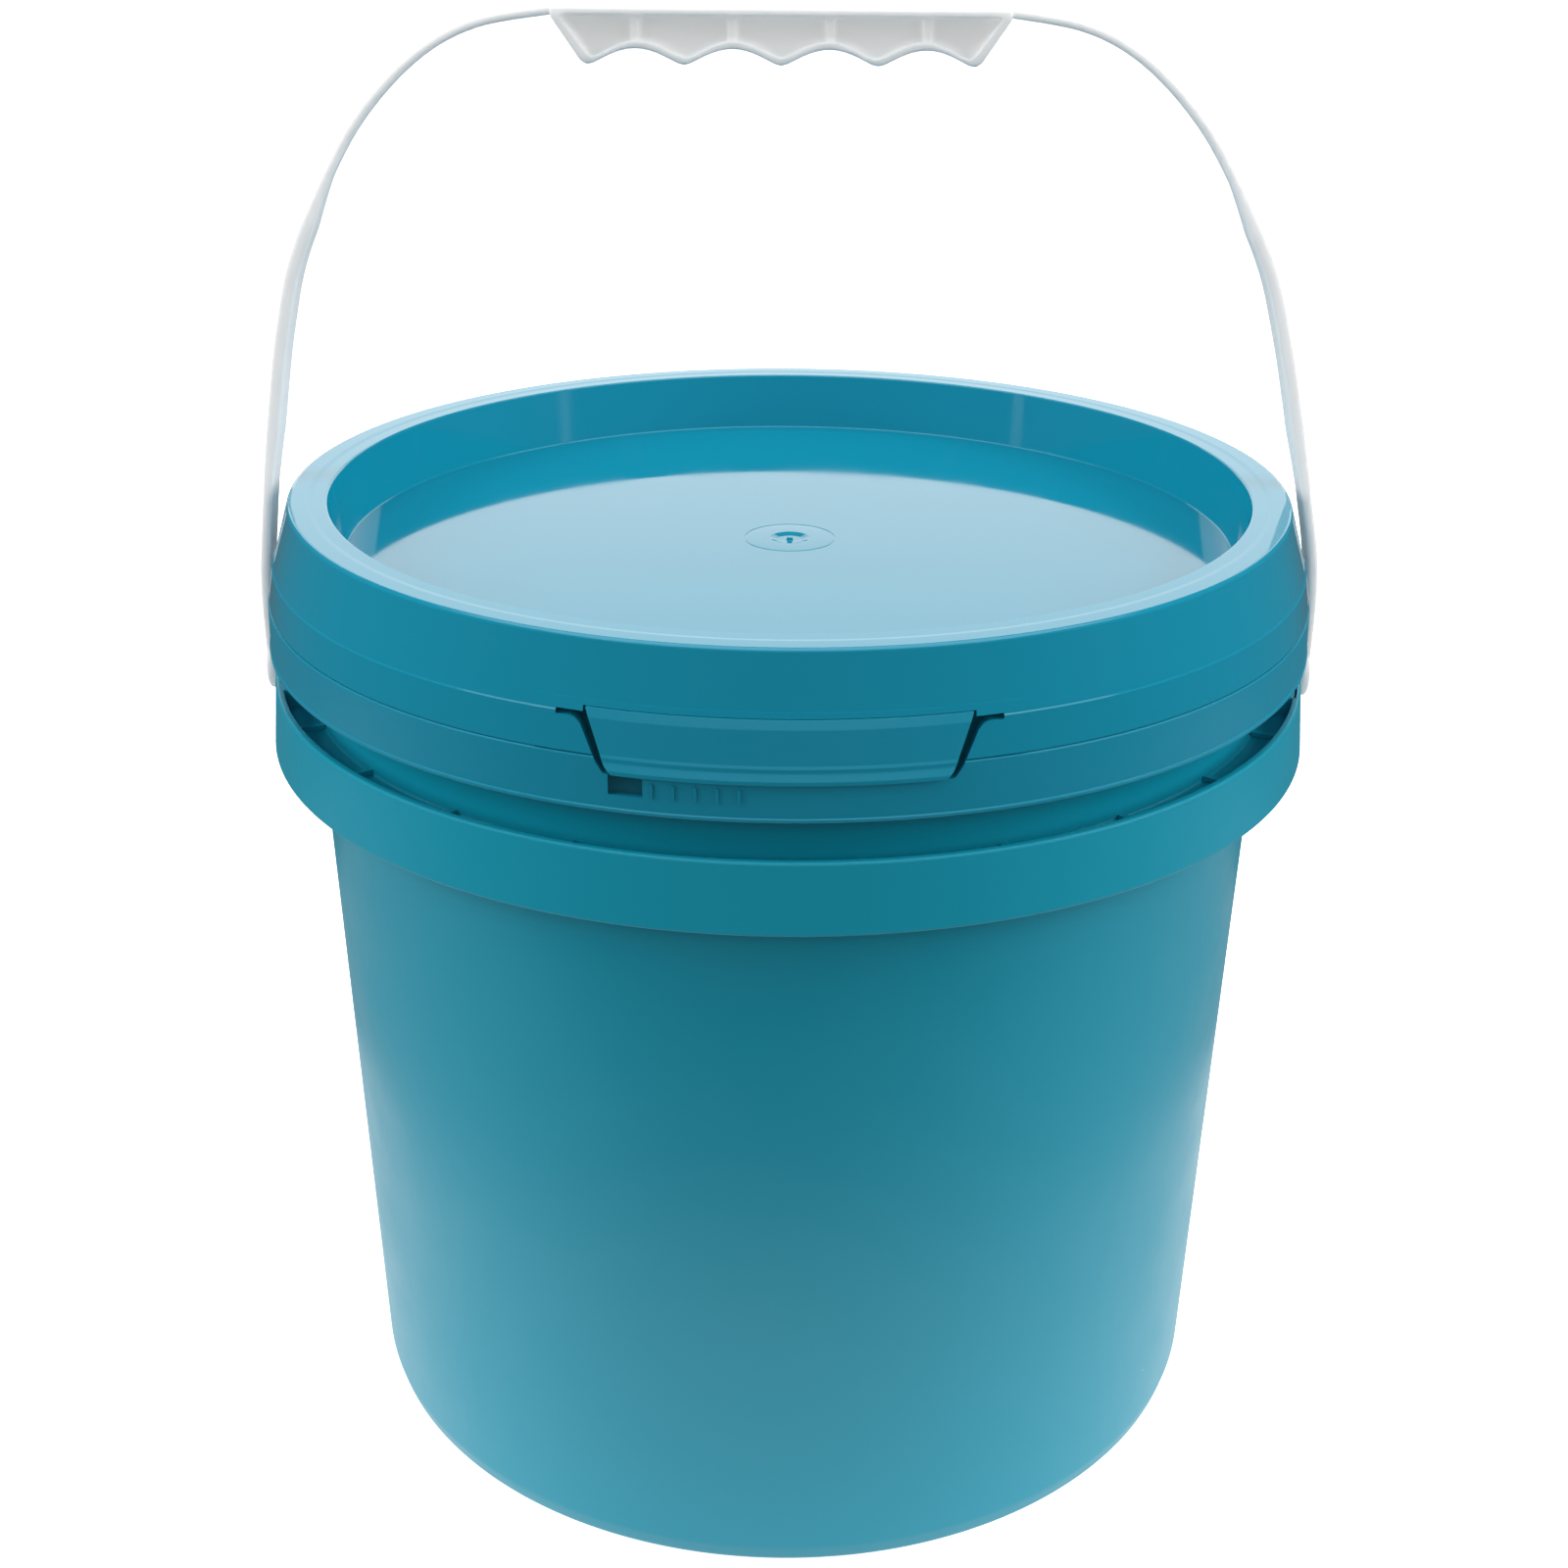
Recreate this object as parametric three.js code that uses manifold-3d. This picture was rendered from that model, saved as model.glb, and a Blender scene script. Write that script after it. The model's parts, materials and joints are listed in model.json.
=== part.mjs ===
// Lidded ten-litre plastic pail used as a wash bucket: tub, press-fit lid with tear band and pull tab,
// lid gasket, and a one-piece bail handle that pivots in two ear blocks of the collar.
// Millimetres, +Z up, origin at the centre of the base on the ground plane, front towards -Y,
// bail pivots on the X axis. Each piece is one closed solid.
import * as THREE from 'three';
import { mergeVertices } from 'three/addons/utils/BufferGeometryUtils.js';
import Module from 'manifold-3d';

// ---- driving dimensions ------------------------------------------------------------------------
const SEGMENTS = 72;            // facets round every turned piece
const GAP = 0.3;                // clearance between pieces that touch on the real pail

const BASE_R = 118.6;           // outer wall radius just above the base corner
const NECK_R = 126.5;           // outer radius of the neck above the collar
const WALL = 2;                 // tub wall
const FLOOR_T = 2.2;            // tub floor
const FOOT_H = 2.5;             // the floor stands this far above the ground on a foot ring
const FOOT_W = 3.5;             // flat width of the foot ring
const CORNER = 4.5;             // height of the rounded base corner
const COLLAR_LOW = 192.7;       // height of the collar's lower edge
const COLLAR_H = 17.3;
const COLLAR_REACH = 9.8;       // collar top beyond the neck
const COLLAR_FLARE = 1.4;       // collar bottom beyond its top
const COLLAR_T = 1.9;
const TROUGH_D = 5;             // depth of the open trough behind the collar
const LEDGE_T = 1.8;
const RIB_T = 1.6;
const RIB_PITCH = 15;           // degrees
const RIB_STAND = 1.5;          // ribs above the ledge
const EAR_HALF_ANGLE = 15;      // degrees either side of the pivot axis
const EAR_H = 15.5;

const CHANNEL_H = 9.7;          // open height between collar top and lid skirt
const TEAR_BAND_H = 12.1;
const BREAK_GAP = 0.4;          // slit between tear band and skirt
const TIER2_H = 8.8;
const TIER1_H = 16;
const LID_WALL = 1.8;
const TIER1_FLARE = 4.5;
const TIER2_STEP = 0.4;
const TIER2_FLARE = 1.3;
const BAND_STEP = 0.3;
const BAND_FLARE = 0.5;
const RIM_BEAD = 4.5;           // rim bead beyond the neck
const SNAP_BEAD = 1.3;          // bead inside the skirt
const SNAP_CLEAR = 0.4;
const PLUG_GAP = 2.8;           // between neck bore and the lid's plug wall
const PLUG_TAPER = 3.2;
const LID_DEPTH = 15.7;         // lid floor below the lid top
const EDGE_ROUND = 2;
const GASKET_T = 3;
const GASKET_W = 4.2;

const LID_TURN = -0.85;         // degrees that the lid sits turned on the tub
const TAB_TOP_HALF = 42.1;      // half widths of the pull tab
const TAB_LOW_HALF = 36.9;
const TAB_DROP = 12.3;          // tab below the step between the two upper tiers
const TAB_RISE = 1.6;           // tab above that step
const TAB_CORNER = 2.4;         // rounding of its lower corners
const TAB_BULGE = 0.5;          // tab face beyond the skirt
const TAB_T = 1.6;
const TAB_LIP = 1.2;            // height of the lip along the tab's lower edge
const TAB_SLOT = 0.4;           // slit below the tab
const SIDE_SLOT = 1.7;          // open slot beside the tab
const SLOT_REACH = 6.2;         // level end of the slot, beyond the tab's top corner
const SLOT_H = 1.3;             // height of that level end
const SLOT_RISE = 0.5;          // slot top above the step
const WINDOW_W = 7.6;           // inspection window of the tear band
const WINDOW_H = 4.6;

const PIVOT_DROP = 5;           // pivot axis below the collar's top edge
const PIN_R = 3.5;
const PIN_CLEAR = 0.4;
const HEAD_R = 4.6;
const HEAD_T = 2.2;
const DISC_R = 7;
const ARM_T = 2.7;
const ARM_W = 9.5;
const ARM_CLEAR = 0.4;
const STRAP_T = 2.2;
const STRAP_W = 6;
const BAIL_RISE = 119;          // top of the grip above the lid
const GRIP_HALF = 58.6;
const GRIP_W = 18;
const GRIP_FINGERS = 4;
const FINGER_PITCH = 23.5;
const GRIP_CUSP_DROP = 13.3;    // cusps below the grip's top
const SCALLOP_DROP = 9.5;       // scallop crowns below the grip's top
const GRIP_RIM = 1.9;
const GRIP_RIB = 1.8;
const GRIP_WEB = 13.4;          // core between the shallow pockets of both faces

// ---- derived heights and radii -----------------------------------------------------------------
const COLLAR_TOP = COLLAR_LOW + COLLAR_H;
const LEDGE_TOP = COLLAR_TOP - TROUGH_D;
const SKIRT_LOW = COLLAR_TOP + CHANNEL_H;
const TIER2_LOW = SKIRT_LOW + TEAR_BAND_H + BREAK_GAP;
const TIER1_LOW = TIER2_LOW + TIER2_H;
const LID_TOP = TIER1_LOW + TIER1_H;
const LID_FLOOR = LID_TOP - LID_DEPTH;
const RIM_TOP = LID_TOP - LID_WALL - GASKET_T - 2 * GAP;
const COLLAR_R = NECK_R + COLLAR_REACH;
const COLLAR_LOW_R = COLLAR_R + COLLAR_FLARE;
const BEAD_R = NECK_R + RIM_BEAD;
const SNAP_R = BEAD_R + SNAP_CLEAR;
const TIER1_R = SNAP_R + SNAP_BEAD + LID_WALL;
const TOP_R = TIER1_R - TIER1_FLARE;
const TIER2_R = TIER1_R + TIER2_STEP;
const TIER2_LOW_R = TIER2_R + TIER2_FLARE;
const BAND_R = TIER2_LOW_R + BAND_STEP;
const BAND_LOW_R = BAND_R + BAND_FLARE;
const PLUG_R = NECK_R - WALL - PLUG_GAP;
const PIVOT_Z = COLLAR_TOP - PIVOT_DROP;
const ARM_IN = Math.max(COLLAR_LOW_R, BAND_LOW_R) + ARM_CLEAR;
const ARM_OUT = ARM_IN + ARM_T;
const FRONT_REACH = 20;         // depth of the cutters through the front of the skirt
const WALL_SLOPE = (NECK_R - BASE_R) / COLLAR_TOP;

// ---- geometry helpers --------------------------------------------------------------------------
const wasm = await Module();
wasm.setup();

/** Joins the shared vertices of a closed geometry and drops the slivers on the axis. */
function weld(geometry) {
  geometry.deleteAttribute('normal');
  geometry.deleteAttribute('uv');
  const merged = mergeVertices(geometry, 1e-3);
  const kept = [];
  for (let i = 0; i < merged.index.count; i += 3) {
    const [a, b, c] = [0, 1, 2].map((k) => merged.index.getX(i + k));
    if (a !== b && b !== c && c !== a) kept.push(a, b, c);
  }
  merged.setIndex(kept);
  return merged;
}

function toSolid(geometry) {
  const welded = weld(geometry);
  return new wasm.Manifold(new wasm.Mesh({
    numProp: 3,
    vertProperties: new Float32Array(welded.attributes.position.array),
    triVerts: new Uint32Array(welded.index.array),
  }));
}

function toGeometry(solid) {
  const mesh = solid.getMesh();
  const geometry = new THREE.BufferGeometry();
  geometry.setAttribute('position', new THREE.BufferAttribute(new Float32Array(mesh.vertProperties), 3));
  geometry.setIndex(Array.from(mesh.triVerts));
  geometry.computeVertexNormals();
  return geometry;
}

/** Turns a profile of [radius, height] points about Z. */
function turned(profile) {
  const points = profile.map(([r, z]) => new THREE.Vector2(r, z));
  return toSolid(new THREE.LatheGeometry(points, SEGMENTS).rotateX(Math.PI / 2));
}

/** A closed ring: the profile runs anticlockwise and ends where it starts. */
const turnedRing = (profile) => turned([...profile, profile[0]]);

/** Extrudes an outline of [x, z] points by width, centred on the XZ plane. */
function plate(outline, width) {
  const shape = new THREE.Shape(outline.map(([x, z]) => new THREE.Vector2(x, z)));
  const geometry = new THREE.ExtrudeGeometry(shape, { depth: width, bevelEnabled: false });
  return toSolid(geometry.translate(0, 0, -width / 2).rotateX(Math.PI / 2));
}

/** A half outline on the +X side, listed downwards, closed by its mirror image. */
const mirrored = (half) => [...half, ...half.map(([x, z]) => [-x, z]).reverse()];

/** A cutter or blank through the front of the lid, from an outline of [x, z] points. */
function throughFront(outline) {
  return plate(outline, FRONT_REACH).translate([0, -NECK_R - 6, 0]).rotate([0, 0, LID_TURN]);
}

function box([x0, x1], [y0, y1], [z0, z1]) {
  const geometry = new THREE.BoxGeometry(x1 - x0, y1 - y0, z1 - z0);
  return toSolid(geometry.translate((x0 + x1) / 2, (y0 + y1) / 2, (z0 + z1) / 2));
}

/** A rod along X between two stations, on the pivot axis. */
function pivotRod(radius, x0, x1) {
  const geometry = new THREE.CylinderGeometry(radius, radius, Math.abs(x1 - x0), 24);
  return toSolid(geometry.rotateZ(Math.PI / 2).translate((x0 + x1) / 2, 0, PIVOT_Z));
}

/** A wedge of a ring, in degrees about Z, between two heights. */
function sector(rIn, rOut, from, to, z0, z1) {
  const steps = Math.max(4, Math.round(Math.abs(to - from) / 5));
  const at = (r, i) => {
    const a = THREE.MathUtils.degToRad(from + ((to - from) * i) / steps);
    return new THREE.Vector2(r * Math.cos(a), r * Math.sin(a));
  };
  const outer = Array.from({ length: steps + 1 }, (_, i) => at(rOut, i));
  const inner = Array.from({ length: steps + 1 }, (_, i) => at(rIn, steps - i));
  const geometry = new THREE.ExtrudeGeometry(new THREE.Shape([...outer, ...inner]), {
    depth: z1 - z0,
    bevelEnabled: false,
  });
  return toSolid(geometry.translate(0, 0, z0));
}

function named(name, solid, color, roughness) {
  const material = new THREE.MeshStandardMaterial({ color, roughness, metalness: 0 });
  const mesh = new THREE.Mesh(toGeometry(solid), material);
  mesh.name = name;
  return mesh;
}

// ---- tub ---------------------------------------------------------------------------------------
const wallR = (z) => BASE_R + WALL_SLOPE * z;

function tubShell() {
  const floorTop = FOOT_H + FLOOR_T;
  return turned([
    [0, FOOT_H],
    [BASE_R - CORNER - FOOT_W, FOOT_H],
    [BASE_R - CORNER - FOOT_W + 0.8, 0],
    [BASE_R - CORNER + 0.8, 0],
    [BASE_R - 1.3, CORNER * 0.3],
    [wallR(CORNER), CORNER],
    [wallR(COLLAR_LOW), COLLAR_LOW],
    [wallR(LEDGE_TOP), LEDGE_TOP - LEDGE_T],
    [COLLAR_R - COLLAR_T, LEDGE_TOP - LEDGE_T],
    [COLLAR_LOW_R - COLLAR_T, COLLAR_LOW],
    [COLLAR_LOW_R, COLLAR_LOW],
    [COLLAR_R + 0.1, COLLAR_TOP - 0.6],
    [COLLAR_R - 0.6, COLLAR_TOP],
    [COLLAR_R - COLLAR_T, COLLAR_TOP],
    [COLLAR_R - COLLAR_T, LEDGE_TOP],
    [NECK_R, LEDGE_TOP],
    [NECK_R, RIM_TOP - 11],
    [BEAD_R, RIM_TOP - 9],
    [BEAD_R, RIM_TOP - 6.6],
    [BEAD_R - 2.4, RIM_TOP],
    [NECK_R - 0.8, RIM_TOP],
    [NECK_R - WALL, RIM_TOP - 1.6],
    [NECK_R - WALL, COLLAR_TOP],
    [wallR(floorTop + 3) - WALL, floorTop + 3],
    [wallR(floorTop) - WALL - 3, floorTop],
    [0, floorTop],
  ]);
}

/** Thin radial ribs that tie the collar to the neck, except where the ear blocks are. */
function collarRibs() {
  const ribs = [];
  const low = COLLAR_LOW + 2.5;
  const top = LEDGE_TOP + RIB_STAND;
  for (let angle = RIB_PITCH / 2; angle < 360; angle += RIB_PITCH) {
    const fromEar = Math.min(angle % 180, 180 - (angle % 180));
    if (fromEar < EAR_HALF_ANGLE) continue;
    const rib = new THREE.BoxGeometry(COLLAR_REACH, RIB_T, top - low);
    rib.translate(NECK_R - 0.8 + COLLAR_REACH / 2, 0, (low + top) / 2);
    rib.rotateZ(THREE.MathUtils.degToRad(angle));
    ribs.push(toSolid(rib));
  }
  return ribs;
}

const POCKET_IN = NECK_R + 1.8;                    // pocket floor keeps the neck wall closed
const POCKET_OUT = POCKET_IN + HEAD_T + 0.8;

/** Ear block: a solid stretch of the collar with a bore for the pin and a pocket for its head. */
function earBlock(side) {
  const middle = side > 0 ? 0 : 180;
  const [from, to] = [middle - EAR_HALF_ANGLE, middle + EAR_HALF_ANGLE];
  return sector(NECK_R - 1, COLLAR_R - 0.7, from, to, COLLAR_TOP - EAR_H, COLLAR_TOP);
}

function makeTub() {
  let tub = tubShell();
  for (const rib of collarRibs()) tub = tub.add(rib);
  for (const side of [-1, 1]) {
    tub = tub.add(earBlock(side));
    tub = tub.subtract(pivotRod(PIN_R + PIN_CLEAR, side * POCKET_IN, side * (ARM_OUT + 1)));
    tub = tub.subtract(pivotRod(HEAD_R + PIN_CLEAR, side * POCKET_IN, side * POCKET_OUT));
  }
  return tub;
}

// ---- lid, gasket and tear band -----------------------------------------------------------------
function lidShell() {
  const under = LID_FLOOR - LID_WALL;
  const channelTop = LID_TOP - LID_WALL;
  return turned([
    [0, under],
    [PLUG_R - PLUG_TAPER, under],
    [PLUG_R, channelTop],
    [TOP_R - LID_WALL, channelTop],
    [TIER1_R - LID_WALL, TIER1_LOW + 2],
    [SNAP_R, TIER1_LOW - 1.5],
    [TIER2_LOW_R - LID_WALL, TIER2_LOW],
    [TIER2_LOW_R, TIER2_LOW],
    [TIER2_R, TIER1_LOW],
    [TIER1_R, TIER1_LOW + 0.3],
    [TOP_R, LID_TOP - EDGE_ROUND],
    [TOP_R - 0.6, LID_TOP - 0.6],
    [TOP_R - EDGE_ROUND, LID_TOP],
    [PLUG_R - LID_WALL + 1, LID_TOP],
    [PLUG_R - LID_WALL, LID_TOP - 1],
    [PLUG_R - LID_WALL - PLUG_TAPER, LID_FLOOR + 1],
    [PLUG_R - LID_WALL - PLUG_TAPER - 1, LID_FLOOR],
    [0, LID_FLOOR],
  ]);
}

const TAB_LOW = TIER1_LOW - TAB_DROP;
const TAB_TOP = TIER1_LOW + TAB_RISE;
const SLOT_TOP = TIER1_LOW + SLOT_RISE;

/** The opening that the tab and its S-shaped side slots fill. */
function tabOpening() {
  return throughFront(mirrored([
    [TAB_TOP_HALF + GAP, TAB_TOP + GAP],
    [TAB_TOP_HALF + GAP, SLOT_TOP],
    [TAB_TOP_HALF + SLOT_REACH, SLOT_TOP],
    [TAB_TOP_HALF + SLOT_REACH, SLOT_TOP - SLOT_H],
    [TAB_TOP_HALF + SIDE_SLOT + 1.6, SLOT_TOP - SLOT_H],
    [TAB_TOP_HALF + SIDE_SLOT, SLOT_TOP - SLOT_H - 0.7],
    [TAB_TOP_HALF + SIDE_SLOT * 0.4, SLOT_TOP - SLOT_H - 2.4],
    [TAB_LOW_HALF + SIDE_SLOT * 1.1, TAB_LOW + TAB_CORNER],
    [TAB_LOW_HALF, TAB_LOW - TAB_SLOT],
  ]));
}

function makeLid() {
  return lidShell().subtract(tabOpening());
}

function makeGasket() {
  const top = LID_TOP - LID_WALL - GAP;
  const middle = NECK_R - WALL / 2;
  return turnedRing([
    [middle - GASKET_W / 2 + 0.6, top - GASKET_T],
    [middle + GASKET_W / 2 - 0.6, top - GASKET_T],
    [middle + GASKET_W / 2, top - GASKET_T / 2],
    [middle + GASKET_W / 2 - 0.6, top],
    [middle - GASKET_W / 2 + 0.6, top],
    [middle - GASKET_W / 2, top - GASKET_T / 2],
  ]);
}

function makeTearBand() {
  const top = SKIRT_LOW + TEAR_BAND_H;
  const ring = turnedRing([
    [BAND_LOW_R - LID_WALL, SKIRT_LOW],
    [BAND_LOW_R - 0.4, SKIRT_LOW],
    [BAND_LOW_R, SKIRT_LOW + 0.6],
    [BAND_R, top],
    [BAND_R - LID_WALL, top],
  ]);
  const left = -TAB_LOW_HALF;
  const low = TAB_LOW - TAB_SLOT - WINDOW_H;
  const window = throughFront([
    [left, low],
    [left + WINDOW_W, low],
    [left + WINDOW_W, TAB_LOW],
    [left, TAB_LOW],
  ]);
  return ring.subtract(tabOpening()).subtract(window);
}

// ---- pull tab ----------------------------------------------------------------------------------
/** A curved shield that hangs in the opening of the skirt, with a lip along its lower edge. */
function makePullTab() {
  const lipR = COLLAR_LOW_R;
  const ring = turnedRing([
    [lipR - TAB_T, TAB_LOW - 1],
    [lipR, TAB_LOW - 1],
    [lipR, TAB_LOW + TAB_LIP],
    [BAND_R + TAB_BULGE, TAB_LOW + 2 * TAB_LIP],
    [BAND_R + TAB_BULGE, TIER2_LOW],
    [TIER2_LOW_R + TAB_BULGE, TIER2_LOW + 0.5],
    [TIER2_R + TAB_BULGE, TAB_TOP + 1],
    [TIER2_R + TAB_BULGE - TAB_T, TAB_TOP + 1],
  ]);
  const blank = throughFront(mirrored([
    [TAB_TOP_HALF, TAB_TOP],
    [TAB_LOW_HALF + 0.6, TAB_LOW + TAB_CORNER],
    [TAB_LOW_HALF - 0.6, TAB_LOW + 0.6],
    [TAB_LOW_HALF - TAB_CORNER, TAB_LOW],
  ]));
  return ring.intersect(blank);
}

// ---- bail handle -------------------------------------------------------------------------------
/** Outer line of one side of the bail, from the pivot up to the grip, as [x, z]. */
function bailLine() {
  const at = (span, rise) => new THREE.Vector3(ARM_OUT * span, 0, LID_TOP + BAIL_RISE * rise);
  const start = new THREE.Vector3(ARM_OUT, 0, PIVOT_Z);
  const skirt = new THREE.Vector3(ARM_OUT, 0, TIER2_LOW - 1);
  const shoulder = [at(0.976, -0.02), at(0.95, 0.152), at(0.918, 0.33), at(0.876, 0.498)];
  const arch = [at(0.79, 0.7), at(0.716, 0.82), at(0.626, 0.915), at(0.527, 0.972)];
  const grip = new THREE.Vector3(GRIP_HALF - 3, 0, LID_TOP + BAIL_RISE - 0.2);
  return new THREE.CatmullRomCurve3([start, skirt, ...shoulder, ...arch, grip], false, 'centripetal');
}

/** One side strap: the stretch of the bail line between two shares, with its own section. */
function strap(side, from, to, thickness, width) {
  const line = bailLine();
  const steps = 16;
  const outer = [];
  const inner = [];
  for (let i = 0; i <= steps; i += 1) {
    const u = from + ((to - from) * i) / steps;
    const p = line.getPointAt(u);
    const t = line.getTangentAt(u);
    outer.push([side * p.x, p.z]);
    inner.unshift([side * (p.x - thickness * t.z), p.z + thickness * t.x]);
  }
  return plate([...outer, ...inner], width);
}

/** Grip outline: straight top, slanting ends and finger scallops below. */
function gripOutline() {
  const top = LID_TOP + BAIL_RISE;
  const cuspHalf = (GRIP_FINGERS * FINGER_PITCH) / 2;
  const outline = [[GRIP_HALF, top], [-GRIP_HALF, top], [-GRIP_HALF, top - STRAP_T]];
  const steps = 6;
  for (let f = 0; f < GRIP_FINGERS; f += 1) {
    for (let i = f ? 1 : 0; i <= steps; i += 1) {
      const share = i / steps;
      const rise = (GRIP_CUSP_DROP - SCALLOP_DROP) * Math.sin(Math.PI * share);
      outline.push([-cuspHalf + FINGER_PITCH * (f + share), top - GRIP_CUSP_DROP + rise]);
    }
  }
  outline.push([GRIP_HALF, top - STRAP_T]);
  return outline;
}

/** Pockets that leave a rim, upright ribs at the scallop crowns and a middle web. */
function gripPockets() {
  const top = LID_TOP + BAIL_RISE - GRIP_RIM;
  const low = LID_TOP + BAIL_RISE - SCALLOP_DROP + GRIP_RIM * 0.6;
  const depth = (GRIP_W - GRIP_WEB) / 2;
  const pockets = [];
  for (let f = 0; f <= GRIP_FINGERS; f += 1) {
    const left = (f - GRIP_FINGERS / 2 - 0.5) * FINGER_PITCH + GRIP_RIB / 2;
    const right = left + FINGER_PITCH - GRIP_RIB;
    const limit = GRIP_HALF - 8;
    const span = [Math.max(left, -limit), Math.min(right, limit)];
    for (const side of [-1, 1]) {
      const faces = [side * (GRIP_WEB / 2), side * (GRIP_WEB / 2 + depth + 1)].sort((a, b) => a - b);
      pockets.push(box(span, faces, [low, top]));
    }
  }
  return pockets;
}

function makeBail() {
  let bail = plate(gripOutline(), GRIP_W);
  for (const pocket of gripPockets()) bail = bail.subtract(pocket);
  for (const side of [-1, 1]) {
    bail = bail.add(strap(side, 0, 0.5, ARM_T, ARM_W));
    bail = bail.add(strap(side, 0.48, 1, STRAP_T, STRAP_W));
    bail = bail.add(pivotRod(DISC_R, side * ARM_IN, side * ARM_OUT));
    bail = bail.add(pivotRod(PIN_R, side * (POCKET_IN + GAP + HEAD_T - 0.2), side * (ARM_IN + 0.5)));
    bail = bail.add(pivotRod(HEAD_R, side * (POCKET_IN + GAP), side * (POCKET_IN + GAP + HEAD_T)));
  }
  return bail;
}

// ---- assembly ----------------------------------------------------------------------------------
const pail = new THREE.Group();
pail.add(named('tub', makeTub(), 0x1f8fb0, 0.35));
pail.add(named('lid', makeLid(), 0x1b86a6, 0.2));
pail.add(named('lid_gasket', makeGasket(), 0x3a3d40, 0.8));
pail.add(named('tear_band', makeTearBand(), 0x1b86a6, 0.3));
pail.add(named('pull_tab', makePullTab(), 0x1b86a6, 0.3));
pail.add(named('bail_handle', makeBail(), 0xe4e4e4, 0.4));

export default pail;
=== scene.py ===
"""Looks of a lidded ten-litre wash bucket: moulded teal polypropylene tub and lid, white bail handle.

Every piece is turned, extruded or swept from a few named sizes, rides on its body and stands for one
node of the frame. Metres, +Z up, front towards -Y. Heights and radii start from the frame's boxes.
"""
import json
import math

import bmesh
import bpy
from mathutils import Matrix, Vector


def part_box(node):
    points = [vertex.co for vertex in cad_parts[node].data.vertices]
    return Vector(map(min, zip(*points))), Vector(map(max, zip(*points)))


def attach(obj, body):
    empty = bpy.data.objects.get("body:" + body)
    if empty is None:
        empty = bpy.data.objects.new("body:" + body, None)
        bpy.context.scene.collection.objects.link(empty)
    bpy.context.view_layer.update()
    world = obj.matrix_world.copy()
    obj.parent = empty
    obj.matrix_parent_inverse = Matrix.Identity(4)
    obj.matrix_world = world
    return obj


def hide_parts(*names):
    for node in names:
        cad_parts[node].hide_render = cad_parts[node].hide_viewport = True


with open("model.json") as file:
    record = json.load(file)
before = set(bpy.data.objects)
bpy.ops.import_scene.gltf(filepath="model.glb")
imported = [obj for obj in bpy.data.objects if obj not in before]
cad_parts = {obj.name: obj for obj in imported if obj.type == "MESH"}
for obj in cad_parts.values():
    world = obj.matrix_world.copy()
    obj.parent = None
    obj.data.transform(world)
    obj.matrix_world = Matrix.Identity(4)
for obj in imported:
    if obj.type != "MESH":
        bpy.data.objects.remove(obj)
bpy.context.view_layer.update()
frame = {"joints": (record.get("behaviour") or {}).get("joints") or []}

MM = 0.001
SEGMENTS = 240                      # facets round each turned piece
TURN = 2 * math.pi
ARC_SHARE = 0.48                    # most of an edge that the arc of one corner may take up
SAME_POINT = 1e-7                   # vertices nearer than this are one
ON_AXIS = 1e-9                      # radius below which an outline point lies on the axis

# ---- sizes read from the frame --------------------------------------------------------------------
tub_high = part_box("tub")[1]
lid_low, lid_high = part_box("lid")
tear_low, tear_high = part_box("tear_band")
tab_low, tab_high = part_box("pull_tab")
bail_low, bail_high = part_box("bail_handle")
gasket_low, gasket_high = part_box("lid_gasket")

LID_TOP = lid_high.z
RIM_TOP = tub_high.z
SKIRT_LOW = tear_low.z
TIER2_LOW = lid_low.z
COLLAR_LOW_R = tub_high.x
BAND_LOW_R = tear_high.x
BAIL_TOP = bail_high.z
GRIP_W = bail_high.y - bail_low.y
PIVOT = next(Vector(j["pos_m"]) for j in frame["joints"] if j["name"] == "bail_swing")

# ---- sizes of the mouldings -----------------------------------------------------------------------
ARM_T = 2.7 * MM
ARM_OUT = COLLAR_LOW_R + 0.4 * MM + ARM_T
WALL = 2.0 * MM
LID_WALL = 1.8 * MM
BASE_R = 118.6 * MM                 # outer wall just above the rounded base corner
NECK_R = COLLAR_LOW_R - 11.2 * MM
COLLAR_TOP = PIVOT.z + 5.0 * MM
COLLAR_LOW = COLLAR_TOP - 17.3 * MM
COLLAR_R = COLLAR_LOW_R - 1.4 * MM
COLLAR_T = 1.9 * MM
TROUGH = 5.0 * MM
BEAD_R = NECK_R + 4.5 * MM
SNAP_R = BEAD_R + 0.4 * MM
TIER1_LOW = TIER2_LOW + 8.8 * MM
TIER1_R = SNAP_R + 3.1 * MM
TOP_R = TIER1_R - 4.5 * MM
TIER2_R = TIER1_R + 0.4 * MM
TIER2_LOW_R = TIER2_R + 1.3 * MM
BAND_R = BAND_LOW_R - 0.5 * MM
PLUG_R = NECK_R - WALL - 2.8 * MM
LID_FLOOR = LID_TOP - 15.7 * MM
LID_TURN = math.radians(-0.85)      # the lid sits a little turned on the tub
RIB_PITCH = math.radians(15)
EAR_HALF = math.radians(15)

# ---- mesh helpers ---------------------------------------------------------------------------------


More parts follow.
